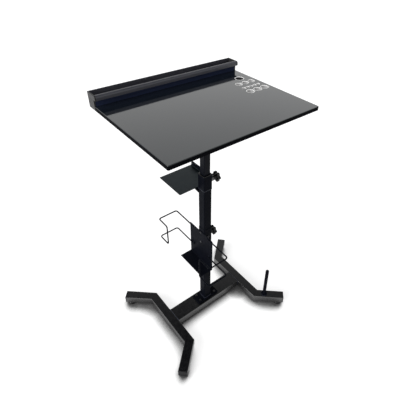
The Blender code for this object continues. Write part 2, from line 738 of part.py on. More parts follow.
def add_trough(top, lift, coat, steel):
    """Folded bottle trough behind the work top, its end plates and screws."""
    half = SHEET / 2
    floor = -TOP_T + half
    wall = TROUGH_FRONT + half
    corners = (
        (TROUGH_REAR - half, TROUGH_TOP),
        (TROUGH_REAR - half, floor),
        (wall, floor),
        (wall, TROUGH_TOP - half),
        (LIP_FRONT + half, TROUGH_TOP - half),
        (LIP_FRONT + half, TROUGH_TOP - LIP_DROP),
    )
    outline = folded(corners, (SHEET_BEND, SHEET_BEND, SHEET_BEND, LIP_BEND), SHEET)
    trough = add("bottle_trough", along_x((outline, -TROUGH_HALF), (outline, TROUGH_HALF)), lift, coat)
    level = -TOP_T / 2
    start = TOP_REAR - TROUGH_SCREW_BITE - HOLE_GAP
    end = TROUGH_FRONT + 2 * SHEET
    ways = [((x, start, level), (x, end, level), SCREW_R + HOLE_GAP) for x in TROUGH_SCREW_X]
    cutter = add_cutter("trough_cutter", drills(ways), lift)
    cut(top, cutter)
    cut(trough, cutter)
    seat = TROUGH_FRONT + SHEET + WELD_GAP
    for index, x in enumerate(TROUGH_SCREW_X):
        bite = seat - TOP_REAR + TROUGH_SCREW_BITE
        body = screw((x, seat, level), -Y_AXIS, SCREW_HEAD_R, SCREW_HEAD, SCREW_R, bite)
        add(f"trough_screw_{index + 1}", body, lift, steel)
    lip = LIP_BEND + half
    outline = [(TROUGH_REAR, -TOP_T), (TROUGH_REAR, TROUGH_TOP)]
    for step in range(BEND_STEPS + 1):
        swing = math.pi / 2 * step / BEND_STEPS
        outline.append((LIP_FRONT + lip - lip * math.sin(swing), TROUGH_TOP - lip + lip * math.cos(swing)))
    outline.append((LIP_FRONT, TROUGH_TOP - LIP_DROP))
    outline.append((TROUGH_FRONT, TROUGH_TOP - LIP_DROP))
    outline.append((TROUGH_FRONT, -TOP_T))
    for name, side in (("left", -1), ("right", 1)):
        body = along_x((outline, side * (TOP_W / 2 - END_PLATE)), (outline, side * TOP_W / 2))
        add("trough_end_" + name, body, lift, coat)


def main():
    """Build the workstation at its resting height."""
    clear_scene()
    coat = material("powder_coat_black", (0.022, 0.022, 0.024), 0.38)
    gloss = material("top_gloss_black", (0.018, 0.018, 0.019), 0.10)
    trough_coat = material("trough_satin_black", (0.030, 0.030, 0.032), 0.30)
    plastic = material("black_plastic", (0.025, 0.025, 0.026), 0.55)
    steel = material("blackened_steel", (0.10, 0.10, 0.105), 0.35, 1.0)
    zinc = material("zinc_steel", (0.62, 0.62, 0.64), 0.30, 1.0)

    base = empty("base", (0, 0, 0))
    lift = empty("lift", (0, 0, TOP_Z))
    height_lock = empty("height_lock", (0, 0, LOCK_Z))
    holder = empty("glove_holder", (0, 0, HOLDER_Z))
    holder_lock = empty("holder_lock", (0, 0, HOLDER_Z))

    for name, side in (("left", -1), ("right", 1)):
        add_foot("foot_" + name, side, base, coat)
        for place, end in (("front", -1), ("rear", 1)):
            add_leg_end(f"{name}_{place}", side, end, base, plastic)
    add_crossbeam(base, coat, steel)
    add_column(base, coat, plastic, zinc)
    add_shelf(base, coat)
    add_roll_post(base, coat)

    add_inner_column(lift, coat, plastic)
    top = add_top(lift, gloss, coat, steel)
    add_trough(top, lift, trough_coat, steel)

    add_holder(holder, coat, steel)
    add_knob("height_knob", BOSS_START + BOSS_X + KNOB_GAP, STUD_TIP, height_lock, plastic, zinc)
    add_knob("holder_knob", BOSS_START + HOLDER_NUT + KNOB_GAP, HOLDER_STUD_TIP, holder_lock, plastic, zinc)
    bpy.context.view_layer.update()


main()
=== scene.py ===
"""Looks of the tattoo workstation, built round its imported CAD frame. Metres, in the row frame."""
import bisect
import json
import math

import bmesh
import bpy
from mathutils import Matrix, Vector

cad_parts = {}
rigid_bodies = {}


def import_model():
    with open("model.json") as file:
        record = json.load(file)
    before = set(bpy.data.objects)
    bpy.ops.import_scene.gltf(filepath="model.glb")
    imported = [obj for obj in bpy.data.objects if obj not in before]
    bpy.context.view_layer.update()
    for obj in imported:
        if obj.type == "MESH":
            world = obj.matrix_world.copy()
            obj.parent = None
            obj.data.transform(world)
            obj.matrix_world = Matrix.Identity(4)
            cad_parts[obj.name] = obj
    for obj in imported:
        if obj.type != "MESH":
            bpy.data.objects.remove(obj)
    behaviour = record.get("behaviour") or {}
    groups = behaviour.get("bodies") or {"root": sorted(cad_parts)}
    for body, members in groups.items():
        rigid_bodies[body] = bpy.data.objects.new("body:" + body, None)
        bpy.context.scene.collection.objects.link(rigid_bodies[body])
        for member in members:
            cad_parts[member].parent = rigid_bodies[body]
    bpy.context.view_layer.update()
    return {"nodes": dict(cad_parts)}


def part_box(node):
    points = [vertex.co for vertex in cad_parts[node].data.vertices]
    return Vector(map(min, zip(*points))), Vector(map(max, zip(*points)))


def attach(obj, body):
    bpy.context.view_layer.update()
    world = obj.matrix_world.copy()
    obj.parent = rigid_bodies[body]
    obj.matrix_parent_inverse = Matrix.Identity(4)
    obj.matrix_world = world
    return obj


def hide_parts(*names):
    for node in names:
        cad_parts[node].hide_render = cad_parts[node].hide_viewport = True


for item in list(bpy.data.objects):
    bpy.data.objects.remove(item, do_unlink=True)
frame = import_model()

X_AXIS = Vector((1, 0, 0))
Y_AXIS = Vector((0, 1, 0))
Z_AXIS = Vector((0, 0, 1))

# Sizes that a node's box doesn't give, the same as in the CAD
TUBE = 0.032
FOOT_W = 0.035
TUBE_WALL = 0.0016
TUBE_CORNER = 0.0028
SLEEVE_WALL = 0.0010
SLEEVE_CORNER = TUBE_CORNER + SLEEVE_WALL
SHEET = 0.002
SHEET_BEND = 0.003
FOOT_X = 0.174
BEND_Y = 0.1285
SPLAY = math.radians(47)
LEG = 0.119
PLUG_HEAD = 0.003
PLUG_BODY = 0.014
GLIDE_STEM = 0.014
GLIDE_SHOULDER = 0.0045
STUD_BORE = 0.0044
KNOB_LOBES = 6
KNOB_LOBE_DEPTH = 0.0045
KNOB_HUB_R = 0.0085
KNOB_HUB = 0.009
WIRE_R = 0.0025
WIRE_BEND = 0.008
WIRE_DROP_Y = 0.0985
LIP_BEND = 0.006
LIP_DROP = 0.014
POST_R = 0.007
POST_SEAT = 0.004
POST_DOME = 0.005
TOP_CORNER = 0.003
SEAT_CORNER = 0.006
BOLT_HEAD = 0.0040
SCREW_HEAD = 0.0024
RIVET_HEAD = 0.0022
CUP_HOLES = (
    (0.0130, 0.0915, (0.2120,)),
    (0.0090, 0.0535, (0.1760, 0.2030, 0.2295)),
    (0.0050, 0.0215, (0.1686, 0.1836, 0.1986, 0.2136, 0.2286)),
    (0.0110, -0.0080, (0.1690, 0.1990, 0.2290)),
)

# Edges of the looks
CUT_EDGE = 0.0004
TUBE_RIM = 0.0003
SLEEVE = (SLEEVE_WALL, SLEEVE_CORNER, CUT_EDGE)
TOP_ROUND = 0.0016
BOARD_ROUND = 0.0007
RIM_WIDTH = 0.0028  # pale ring round a hole
RIM_SHARE = 0.34  # its most, as a share of the hole's radius
RIM_DEPTH = 0.0003
PLATE_CORNER = 0.004
PLATE_ROUND = 0.0008
CORNER_LEAST = 0.4  # share of a corner that an inset leaves
PLUG_ROUND = 0.0012
PLUG_DISH = ((0.0050, 0.0), (0.0054, 0.0004), (0.0090, 0.0004))  # inset and depth
GLIDE_FOOT = ((0.0022, 0.0), (0.0006, 0.0008), (0.0, 0.0022))  # inset and height
GLIDE_CROWN = ((0.0, -0.0008), (0.0006, 0.0), (0.0020, 0.0010))  # inset and height over the shoulder
GLIDE_FLUTES = 32
FLUTE_DEPTH = 0.0005
BOSS_EDGE = 0.0005
BOSS_ROUND = 0.0012
BOSS_GROOVE = (0.62, 0.64, 0.68, 0.70)  # its edges and floor along the boss, as shares
GROOVE_DEPTH = 0.0004
BUSH_ROUND = 0.0009
SEAT_ROUND = 0.0012
POST_FILLET = 0.0015
KNOB_ROUND = 0.0030
KNOB_HUB_EDGE = 0.0006
KNOB_FILLET = 0.0018
KNOB_BORE = 0.003  # depth past the hub
KNOB_CAP = ((0.0094, 0.0), (0.0089, 0.0003), (0.0086, 0.0009), (0.0080, 0.0009),
            (0.0077, 0.0003), (0.0060, 0.0001), (0.0020, 0.0))  # radius and depth
NUT_ROUND = 0.0007
NUT_DRILL = 0.005  # where its hole starts
TROUGH_END_ROUND = 0.0005
BOLT_WASHER_T = 0.0006
WIRE_END = ((0.0, 0.72), (0.15, 0.92), (0.35, 1.0))  # place and size at a cut end, in wire radii
CORE = 0.3  # share of the radius where a turned piece closes
TIP = 0.2  # the same for a head

# Heads, as shares of their own sizes
CROSS_ARM = 0.17
CROSS_REACH = 0.62
CROSS_SLOPE = 0.10
CROSS_DEPTH = 0.62
CROWN_START = 0.45
DOME_START = 0.18
DOME_FOOT = 0.94
PIN = 0.27
PIN_DIMPLE = ((1.0, 0.98), (0.9, 0.62), (0.2, 0.66))  # in pin radii and head heights
BOLT_WASHER = 1.06
BOLT_CHAMFER = 0.94

# Weld beads: radii, how far a line stands off its corner, then ends and places
FRAME_BEAD = 0.0015
COLUMN_BEAD = 0.0016
COLLAR_BEAD = 0.0014
SHEET_BEAD = 0.0012
SMALL_BEAD = 0.0011
WIRE_BEAD = 0.0009
NUT_BEAD = 0.0008
FRAME_BEAD_OUT = 0.0005
COLUMN_BEAD_UP = 0.0006
COLLAR_BEAD_OUT = 0.0007
SHELF_BEAD_UP = 0.0003
POST_BEAD_OUT = 0.0002
NUT_BEAD_OUT = 0.0003
BEAD_OUT = 0.0004
SHELF_BEAD_END = 0.002
WEB_BEAD_HALF = 0.012
WEB_BEAD_IN = 0.001
WEB_BEAD_END = 0.003
WIRE_BEAD_HALF = 0.0035
WIRE_BEAD_PLACES = (0.006, 0.020)
BEAD_STEP = 0.0005
BEAD_RIPPLE = 0.0017
BEAD_WAVE = 0.16
BEAD_TAPER = 0.35

# Facets
CORNER_STEPS = 8
PATH_CORNER_STEPS = 5
ROUND_STEPS = 4
BEND_STEPS = 12
WIRE_STEPS = 10
DOME_STEPS = 11
KNOB_STEPS = 6
RIVET_STEPS = 10
SCREW_RINGS = 22
SIDES = 64
BEAD_SIDES = 8
WIRE_SIDES = 20
DRILL_SIDES = 32
HOLE_SIDES = 48
BOLT_SIDES = 72
KNOB_SIDES = 144
GLIDE_SIDES = 192
BEVEL_STEPS = 3
SMOOTH_ANGLE = math.radians(35)
FACE_UP = 0.5  # least upward part of an upper face's normal

# Finishes
PATTERN_MIDDLE = (0.3, 0.7)
# The lighter coat edges are partly thinner coat and partly a painted highlight.
EDGE_TURN = (0.995, 0.90)  # cosines where a worn edge starts and is full
WAVE_DISTORTION = 0.6
EDGE_WEAR_AND_HIGHLIGHT_WIDTH = 0.0007
EDGE_WEAR_AND_HIGHLIGHT_TONE = 3.2
COAT_TONE = (0.0036, 0.0042, 0.0068)
WHITE = (1, 1, 1)


class Nodes:
    """A node tree, with the shorthands that finishes, floor and world share."""

    def __init__(self, owner):
        owner.use_nodes = True
        self.tree = owner.node_tree

    def node(self, kind, **settings):
        made = self.tree.nodes.new(kind)
        for name, value in settings.items():
            setattr(made, name, value)
        return made

    def link(self, source, target):
        self.tree.links.new(source, target)

    def join(self, operation, first, second):
        """Two values joined by an operation of the math node."""
        made = self.node("ShaderNodeMath", operation=operation)
        self.link(first, made.inputs[0])
        self.link(second, made.inputs[1])
        return made.outputs["Value"]

    def remap(self, source, start, end, low, high, **settings):
        """A value taken from one range to another, and held to it."""
        made = self.node("ShaderNodeMapRange", clamp=True, **settings)
        for name, value in zip(("From Min", "From Max", "To Min", "To Max"), (start, end, low, high)):
            made.inputs[name].default_value = value
        self.link(source, made.inputs["Value"])
        return made.outputs["Result"]

    def seen_rays(self):
        """1 for rays from the camera, and for mirrored and refracted ones."""
        path = self.node("ShaderNodeLightPath").outputs
        seen = self.join("MAXIMUM", path["Is Camera Ray"], path["Is Glossy Ray"])
        return self.join("MAXIMUM", seen, path["Is Transmission Ray"])


class Look(Nodes):
    """One material on the principled shader."""

    def __init__(self, name):
        self.material = bpy.data.materials.new(name)
        super().__init__(self.material)
        self.shader = self.tree.nodes["Principled BSDF"]
        self.place = self.node("ShaderNodeTexCoord").outputs["Object"]

    def stretched(self, scale):
        """Coordinates scaled on each axis, for a pattern with a direction."""
        made = self.node("ShaderNodeMapping")
        made.inputs["Scale"].default_value = scale
        self.link(self.place, made.inputs["Vector"])
        return made.outputs["Vector"]

    def noise(self, scale, detail, place=None):
        made = self.node("ShaderNodeTexNoise")
        made.inputs["Scale"].default_value = scale
        made.inputs["Detail"].default_value = detail
        self.link(place or self.place, made.inputs["Vector"])
        return made.outputs["Fac"]

    def waves(self, scale, axis):
        made = self.node("ShaderNodeTexWave", bands_direction=axis)
        made.inputs["Scale"].default_value = scale
        made.inputs["Distortion"].default_value = WAVE_DISTORTION
        self.link(self.place, made.inputs["Vector"])
        return made.outputs["Fac"]

    def spread(self, pattern, low, high):
        """A pattern's middle range taken to low and high."""
        return self.remap(pattern, *PATTERN_MIDDLE, low, high)

    def between(self, factor, dark, light):
        """A colour between two by a factor; either may be a socket."""
        made = self.node("ShaderNodeMix", data_type="RGBA")
        self.link(factor, made.inputs["Factor"])
        for name, colour in (("A", dark), ("B", light)):
            if isinstance(colour, tuple):
                made.inputs[name].default_value = (*colour, 1)
            else:
                self.link(colour, made.inputs[name])
        return made.outputs["Result"]

    def clouded(self, pattern, tone, low, high):
        """A tone that follows a pattern between two shares of itself."""
        return self.between(self.spread(pattern, 0, 1), scaled(tone, low), scaled(tone, high))

    def edges(self, width):
        """1 along the piece's own edges and 0 on its flats."""
        bevel = self.node("ShaderNodeBevel", samples=6)
        bevel.inputs["Radius"].default_value = width
        flat = self.node("ShaderNodeNewGeometry").outputs["Normal"]
        dot = self.node("ShaderNodeVectorMath", operation="DOT_PRODUCT")
        self.link(bevel.outputs["Normal"], dot.inputs[0])
        self.link(flat, dot.inputs[1])
        return self.remap(dot.outputs["Value"], *EDGE_TURN, 0, 1)

    def colour(self, socket):
        self.link(socket, self.shader.inputs["Base Color"])

    def roughness(self, low, high, scale, detail):
        """Roughness that wavers between two values."""
        self.link(self.spread(self.noise(scale, detail), low, high), self.shader.inputs["Roughness"])

    def bump(self, height, strength, depth):
        made = self.node("ShaderNodeBump")
        made.inputs["Strength"].default_value = strength
        made.inputs["Distance"].default_value = depth
        self.link(height, made.inputs["Height"])
        self.link(made.outputs["Normal"], self.shader.inputs["Normal"])

    def set(self, **values):
        """Constants on the shader's own sockets."""
        for name, value in values.items():
            self.shader.inputs[name.replace("_", " ").title().replace("Ior", "IOR")].default_value = value


def scaled(colour, share):
    return tuple(channel * share for channel in colour)


def coat_look(name, tone, specular, rough, peel=0.10, tint=WHITE):
    """Sprayed coat: cloudy thickness, orange peel, and edges painted lighter, partly for slightly thinner
    coat and partly as a painted highlight.
    """
    look = Look(name)
    body = look.clouded(look.noise(scale=38, detail=5), tone, 0.8, 1.2)
    patches = look.spread(look.noise(scale=160, detail=3), 0.1, 0.9)
    # Edges lighter in patches: partly thinner coat, partly a painted highlight.
    edge_wear_and_highlight = look.join("MULTIPLY", look.edges(EDGE_WEAR_AND_HIGHLIGHT_WIDTH), patches)
    look.colour(look.between(edge_wear_and_highlight, body, scaled(tone, EDGE_WEAR_AND_HIGHLIGHT_TONE)))
    look.roughness(rough - 0.05, rough + 0.07, scale=70, detail=4)
    look.bump(look.noise(scale=1500, detail=3), strength=peel, depth=0.00025)
    look.set(specular_ior_level=specular, specular_tint=(*tint, 1))
    return look.material


def gloss_look(name, tone):
    """High-gloss laminate with faint smears in its polish."""
    look = Look(name)
    look.colour(look.clouded(look.noise(scale=6, detail=6), tone, 0.88, 1.12))
    look.roughness(0.055, 0.10, scale=11, detail=7)
    look.bump(look.noise(scale=420, detail=2), strength=0.015, depth=0.0002)
    look.set(specular_ior_level=0.5, specular_tint=(0.97, 1.0, 0.94, 1),
             coat_weight=0.5, coat_roughness=0.05, coat_ior=1.5)
    return look.material


def grained_look(name, tone, scale, specular, rough):
    """Surface with fine streaks, drawn out along the axis of the smallest scale."""
    look = Look(name)
    streak = look.noise(scale=1.0, detail=5, place=look.stretched(scale))
    look.colour(look.clouded(streak, tone, 0.75, 1.25))
    look.roughness(rough - 0.04, rough + 0.06, scale=90, detail=4)
    look.bump(streak, strength=0.12, depth=0.00012)
    look.set(specular_ior_level=specular)
    return look.material


def moulded_look(name, tone, specular, rough):
    """Moulded plastic with a fine spark-eroded grain."""
    look = Look(name)
    look.colour(look.clouded(look.noise(scale=120, detail=4), tone, 0.85, 1.2))
    look.roughness(rough - 0.07, rough + 0.09, scale=300, detail=3)
    look.bump(look.noise(scale=3200, detail=2), strength=0.22, depth=0.00018)
    look.set(specular_ior_level=specular)
    return look.material


def metal_look(name, dark, light, rough, lines=None):
    """Bare or plated steel, with turning lines along an axis where asked."""
    look = Look(name)
    look.colour(look.between(look.spread(look.noise(scale=240, detail=5), 0, 1), dark, light))
    look.roughness(rough - 0.06, rough + 0.10, scale=420, detail=4)
    if lines:
        look.bump(look.waves(scale=620, axis=lines), strength=0.18, depth=0.00008)
    else:
        look.bump(look.noise(scale=1800, detail=3), strength=0.12, depth=0.0001)
    look.set(metallic=1.0)
    return look.material


def core_look(name, tone):
    """Bare, speckled core of the board in its holes."""
    look = Look(name)
    look.colour(look.clouded(look.noise(scale=1300, detail=3), tone, 0.85, 1.12))
    look.roughness(0.5, 0.7, scale=500, detail=4)
    look.bump(look.noise(scale=1600, detail=4), strength=0.25, depth=0.0003)
    look.set(specular_ior_level=0.3)
    return look.material


coat = coat_look("powder_coat", COAT_TONE, specular=0.018, rough=0.45)
lift_coat = coat_look("powder_coat_lift", COAT_TONE, specular=0.05, rough=0.36)
foot_coat = coat_look("powder_coat_foot", (0.0030, 0.0032, 0.0039), specular=0.50, rough=0.21)
# The side faces of the foot and beam tubes take a lighter copy of the foot coat: a painted sheen of the
# bright floor. The tops keep the darker foot coat.
painted_sheen_side_coat = coat_look("powder_coat_foot_side_painted_sheen", (0.012, 0.012, 0.0125), specular=1.0, rough=0.26)
# The beads take the coat at three times its tone: a painted highlight along the welds.
weld_coat_painted_highlight = coat_look("powder_coat_weld_painted_highlight", scaled(COAT_TONE, 3.0), specular=0.25, rough=0.32, peel=0.16)
shelf_coat = coat_look("powder_coat_shelf", (0.0024, 0.0040, 0.0052), specular=0.20, rough=0.34,
                       peel=0.06, tint=(0.66, 0.90, 1.0))
top_gloss = gloss_look("top_gloss", (0.008, 0.011, 0.017))
edge_band = grained_look("edge_band", (0.0028, 0.0030, 0.0042), (60, 60, 900), specular=0.008, rough=0.48)
board_back = grained_look("board_back", (0.020, 0.020, 0.021), (40, 900, 900), specular=0.15, rough=0.62)
board_core = core_look("board_core", (0.40, 0.40, 0.40))
hole_rim = core_look("hole_rim", (0.82, 0.82, 0.81))
trough_satin = grained_look("trough_satin", (0.044, 0.045, 0.055), (9, 700, 700), specular=0.35, rough=0.36)
# Darker navy copy of the trough finish: painted shade for the wall under the lip.
trough_recess_painted_shade = grained_look("trough_recess_painted_shade", (0.016, 0.022, 0.048), (9, 700, 700), specular=0.03, rough=0.45)
end_satin = grained_look("end_satin", (0.026, 0.026, 0.027), (700, 700, 30), specular=0.16, rough=0.40)
plastic = moulded_look("moulded_plastic", (0.0035, 0.0035, 0.0042), specular=0.22, rough=0.25)
plug_plastic = moulded_look("plug_plastic", (0.010, 0.010, 0.011), specular=0.12, rough=0.48)
oxide = metal_look("black_oxide", (0.030, 0.030, 0.033), (0.055, 0.055, 0.060), rough=0.36)
zinc = metal_look("zinc_plate", (0.06, 0.06, 0.065), (0.11, 0.11, 0.11), rough=0.20, lines="X")

# Slots of the record
COAT = "powder_coat_black"
GLOSS = "top_gloss_black"
SATIN = "trough_satin_black"
PLASTIC = "black_plastic"
OXIDE = "blackened_steel"
ZINC = "zinc_steel"


def finish_mesh(mesh):
    mesh.shade_smooth()
    mesh.set_sharp_from_angle(angle=SMOOTH_ANGLE)


def placed(name, data):
    """A new object in the scene."""
    made = bpy.data.objects.new(name, data)
    bpy.context.scene.collection.objects.link(made)
    return made


def shaped(name, bm):
    """A new object from a body, with its faces turned outward."""
    mesh = bpy.data.meshes.new(name)
    bmesh.ops.recalc_face_normals(bm, faces=bm.faces)
    bm.to_mesh(mesh)
    bm.free()
    return placed(name, mesh)


def add(name, bm, body, looks, node=None, bevel=0.0):
    """A named piece that rides on a body and stands for a CAD node."""
    made = shaped(name, bm)
    finish_mesh(made.data)
    for look in looks if isinstance(looks, list) else [looks]:
        made.data.materials.append(look)
    if bevel:
        step = made.modifiers.new("edges", "BEVEL")
        step.width = bevel
        step.segments = BEVEL_STEPS
        step.limit_method = "ANGLE"
        step.angle_limit = SMOOTH_ANGLE
        step.harden_normals = True
    normals = made.modifiers.new("normals", "WEIGHTED_NORMAL")
    normals.keep_sharp = True
    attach(made, body)
    if node:
        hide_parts(node)
    return made


def split_looks(piece):
    """First look on the faces that turn upward, second look on the others."""
    for face in piece.data.polygons:
        face.material_index = 0 if face.normal.z > FACE_UP else 1


def rippled(radius, waves, depth, sides):
    """Points round a circle with waves that cut in from its radius."""
    points = []
    for index in range(sides):
        turn = 2 * math.pi * index / sides
        reach = radius - depth * (1 - math.cos(waves * turn)) / 2
        points.append((reach * math.cos(turn), reach * math.sin(turn)))
    return points


def circle(radius, sides=SIDES):
    return rippled(radius, 0, 0.0, sides)


def quarter(steps):
    """Cosine and sine of even steps through a right angle."""
    turns = [math.pi / 2 * step / steps for step in range(steps + 1)]
    return [(math.cos(turn), math.sin(turn)) for turn in turns]


def rounded(width, height, radius, steps=CORNER_STEPS):
    """Points round a rectangle with round corners."""
    points = []
    for corner, (side, level) in enumerate(((1, 1), (-1, 1), (-1, -1), (1, -1))):
        for step in range(steps + 1):
            turn = math.pi / 2 * (corner + step / steps)
            across = side * (width / 2 - radius) + radius * math.cos(turn)
            along = level * (height / 2 - radius) + radius * math.sin(turn)
            points.append((across, along))
    return points


def ring(points, origin, across, along):
    return [Vector(origin) + across * point[0] + along * point[1] for point in points]


def skin(bm, rings, closed=False):
    """Side faces through rings of equally many points."""
    loops = [[bm.verts.new(point) for point in points] for points in rings]
    pairs = list(zip(loops, loops[1:]))
    if closed:
        pairs.append((loops[-1], loops[0]))
    for first, second in pairs:
        for index in range(len(first)):
            after = (index + 1) % len(first)
            bm.faces.new((first[index], first[after], second[after], second[index]))
    return loops


def capped(bm, rings):
    """Closed body through rings, with a face at each end."""
    loops = skin(bm, rings)
    bm.faces.new(loops[0])
    bm.faces.new(loops[-1])


def loft(rings):
    bm = bmesh.new()
    capped(bm, rings)
    return bm


def prism(outline, start, end, across, axis):
    """Upright outline drawn out along a level axis."""
    return loft([ring(outline, axis * place, across, Z_AXIS) for place in (start, end)])


def turned(profile, origin, axis, sides=SIDES, flutes=0, depth=0.0):
    """Turned solid from radius and distance along the axis; flutes ripple its widest part."""
    across = axis.orthogonal().normalized()
    along = axis.cross(across)
    widest = max(radius for radius, _ in profile)
    rings = []
    for radius, step in profile:
        ripple = depth if radius > widest - depth else 0.0
        points = rippled(radius, flutes, ripple, sides)
        rings.append(ring(points, Vector(origin) + axis * step, across, along))
    return loft(rings)


def edge_rings(low, high, lower, upper):
    """Inset and place of rings along a side that is rounded at both ends."""
    arc = quarter(ROUND_STEPS)
    rings = [(lower * (1 - sin), low + lower * (1 - cos)) for cos, sin in arc]
    return rings + [(upper * (1 - cos), high - upper * (1 - sin)) for cos, sin in arc]


def slab(low, high, corner, lower, upper):
    """Level plate from its box, with round corners and edges."""
    middle = (low + high) / 2
    size = high - low
    rings = []
    for inset, level in edge_rings(low.z, high.z, lower, upper):
        radius = max(corner - inset, corner * CORNER_LEAST)
        outline = rounded(size.x - 2 * inset, size.y - 2 * inset, radius)
        rings.append(ring(outline, (middle.x, middle.y, level), X_AXIS, Y_AXIS))
    return loft(rings)


def hollow(outer, inner):
    """Pipe between two sets of rings, open at both ends."""
    bm = bmesh.new()
    skin(bm, outer + inner[::-1], closed=True)
    return bm


def level_square(side, corner, level):
    return ring(rounded(side, side, corner), (0, 0, level), X_AXIS, Y_AXIS)


def square_pipe(name, node, body, look, wall=TUBE_WALL, corner=TUBE_CORNER, rim=TUBE_RIM):
    """Upright square tube from its node's box."""
    low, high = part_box(node)
    side = high.x - low.x
    outer = [level_square(side - 2 * inset, corner - inset, level)
             for inset, level in edge_rings(low.z, high.z, rim, rim)]
    bore = max(corner - wall, CUT_EDGE)
    inner = [level_square(side - 2 * wall, bore, level) for level in (low.z, high.z)]
    return add(name, hollow(outer, inner), body, look, node)


def drill(pieces, start, end, level):
    """Hole for a stud along X through each piece."""
    for piece in pieces:
        profile = ((STUD_BORE, 0), (STUD_BORE, end - start))
        cut_with(piece, turned(profile, (start, 0, level), X_AXIS, DRILL_SIDES))


def cut_with(piece, bm):
    """Take a body away from a piece and keep the result as its mesh."""
    cutter = shaped("cutter", bm)
    for modifier in piece.modifiers:
        modifier.show_viewport = False
    step = piece.modifiers.new("cut", "BOOLEAN")
    step.operation = "DIFFERENCE"
    step.solver = "EXACT"
    step.object = cutter
    graph = bpy.context.evaluated_depsgraph_get()
    piece.data = bpy.data.meshes.new_from_object(piece.evaluated_get(graph))
    piece.modifiers.remove(step)
    for modifier in piece.modifiers:
        modifier.show_viewport = True
    finish_mesh(piece.data)
    bpy.data.objects.remove(cutter, do_unlink=True)


def folded(corners, radii):
    """Outline of sheet whose middle follows corners with round bends."""
    corners = [Vector(corner) for corner in corners]
    stations = []
    last = len(corners) - 1
    for index, corner in enumerate(corners):
        before = (corner - corners[max(index - 1, 0)]).normalized()
        after = (corners[min(index + 1, last)] - corner).normalized()
        if index in (0, last):
            way = before + after  # one of them is zero at an end
            stations.append((corner, Vector((-way.y, way.x))))
        else:
            radius = radii[index - 1]
            turn = math.atan2(before.x * after.y - before.y * after.x, before.dot(after))
            side = math.copysign(1, turn)
            left = Vector((-before.y, before.x))
            start = corner - before * radius * math.tan(abs(turn) / 2)
            centre = start + left * radius * side
            for step in range(BEND_STEPS + 1):
                swing = turn * step / BEND_STEPS
                cos, sin = math.cos(swing), math.sin(swing)
                normal = Vector((left.x * cos - left.y * sin, left.x * sin + left.y * cos))
                stations.append((centre - normal * radius * side, normal))
    half = SHEET / 2
    return [point + normal * half for point, normal in stations] + [
        point - normal * half for point, normal in reversed(stations)]


def sweep(bm, points, radii, sides, axis=None, closed=False):
    """Round bar along points, with a radius at each; axis is square to a flat path."""
    count = len(points)
    rings = []
    side = None
    for index, point in enumerate(points):
        before = points[index - 1] if closed or index else point
        after = points[(index + 1) % count] if closed or index < count - 1 else point
        way = (after - before).normalized()
        if axis is not None:
            side = axis.cross(way).normalized()
        elif side is None:
            side = way.orthogonal().normalized()
        else:
            side = (side - way * side.dot(way)).normalized()
        rings.append(ring(circle(radii[index], sides), point, side, way.cross(side)))
    if closed:
        skin(bm, rings, closed)
    else:
        capped(bm, rings)


def resampled(points, step, closed):
    """Points an even step apart along a path, their places on it, and its length."""
    path = list(points) + ([points[0]] if closed else [])
    lengths = [0.0]
    for first, second in zip(path, path[1:]):
        lengths.append(lengths[-1] + (second - first).length)
    length = lengths[-1]
    count = max(4, round(length / step))
    places = [length * index / count for index in range(count if closed else count + 1)]
    made = []
    for place in places:
        spot = max(bisect.bisect_left(lengths, place), 1)
        share = (place - lengths[spot - 1]) / (lengths[spot] - lengths[spot - 1])
        made.append(path[spot - 1].lerp(path[spot], share))
    return made, places, length


def bead(bm, points, radius, axis, closed=True):
    """Weld bead with the ripple of its run; an open one tapers at its ends."""
    path, places, length = resampled(points, BEAD_STEP, closed)
    ripples = max(1, round(length / BEAD_RIPPLE))
    radii = []
    for place in places:
        wave = abs(math.sin(math.pi * ripples * place / length))
        size = radius * (1 - BEAD_WAVE + BEAD_WAVE * wave)
        if not closed:
            end = max(min(place, length - place), 0)
            size *= min(1.0, BEAD_TAPER + (1 - BEAD_TAPER) * math.sqrt(end / (2 * radius)))
        radii.append(size)
    sweep(bm, path, radii, BEAD_SIDES, axis, closed)


def square_bead(bm, width, height, origin, across, along, radius):
    """Bead round a square piece."""
    path = ring(rounded(width, height, TUBE_CORNER, PATH_CORNER_STEPS), origin, across, along)
    bead(bm, path, radius, across.cross(along))


def seam(bm, start, end, radius, axis=Z_AXIS):
    """Straight bead that tapers at its ends."""
    bead(bm, [Vector(start), Vector(end)], radius, axis, False)


def cross_screw(seat, axis, head_r, head):
    """Pan head with a cross recess; axis is the way that it is driven."""
    seat = Vector(seat)
    across = axis.orthogonal().normalized()
    along = axis.cross(across)
    arm, reach, slope = CROSS_ARM * head_r, CROSS_REACH * head_r, CROSS_SLOPE * head_r
    rings = [ring(circle(size), seat - axis * CUT_EDGE / 2, across, along) for size in (head_r * TIP, head_r)]
    for index in range(SCREW_RINGS):
        share = 1 - index / SCREW_RINGS
        crown = head * (CROWN_START + (1 - CROWN_START) * math.sqrt(max(0.0, 1 - share ** 4)))
        points = []
        for x, y in circle(head_r * share):
            inside = 0.0
            for u, v in ((x, y), (y, x)):
                inside = max(inside, min((arm - abs(u)) / slope, (reach - abs(v)) / slope, 1))
            rise = crown - CROSS_DEPTH * head * inside
            points.append(seat - axis * rise + across * x + along * y)
        rings.append(points)
    return loft(rings)


def rivet(seat, axis, head_r, head):
    """Blind rivet's dome with the dimple of its drawn pin."""
    profile = [(head_r * share, CUT_EDGE / 2) for share in (TIP, DOME_FOOT)]
    for cos, sin in quarter(RIVET_STEPS)[:-2]:
        profile.append((head_r * cos, head * (DOME_START + (1 - DOME_START) * sin)))
    profile += [(PIN * head_r * across, head * rise) for across, rise in PIN_DIMPLE]
    return turned(profile, seat, -axis)


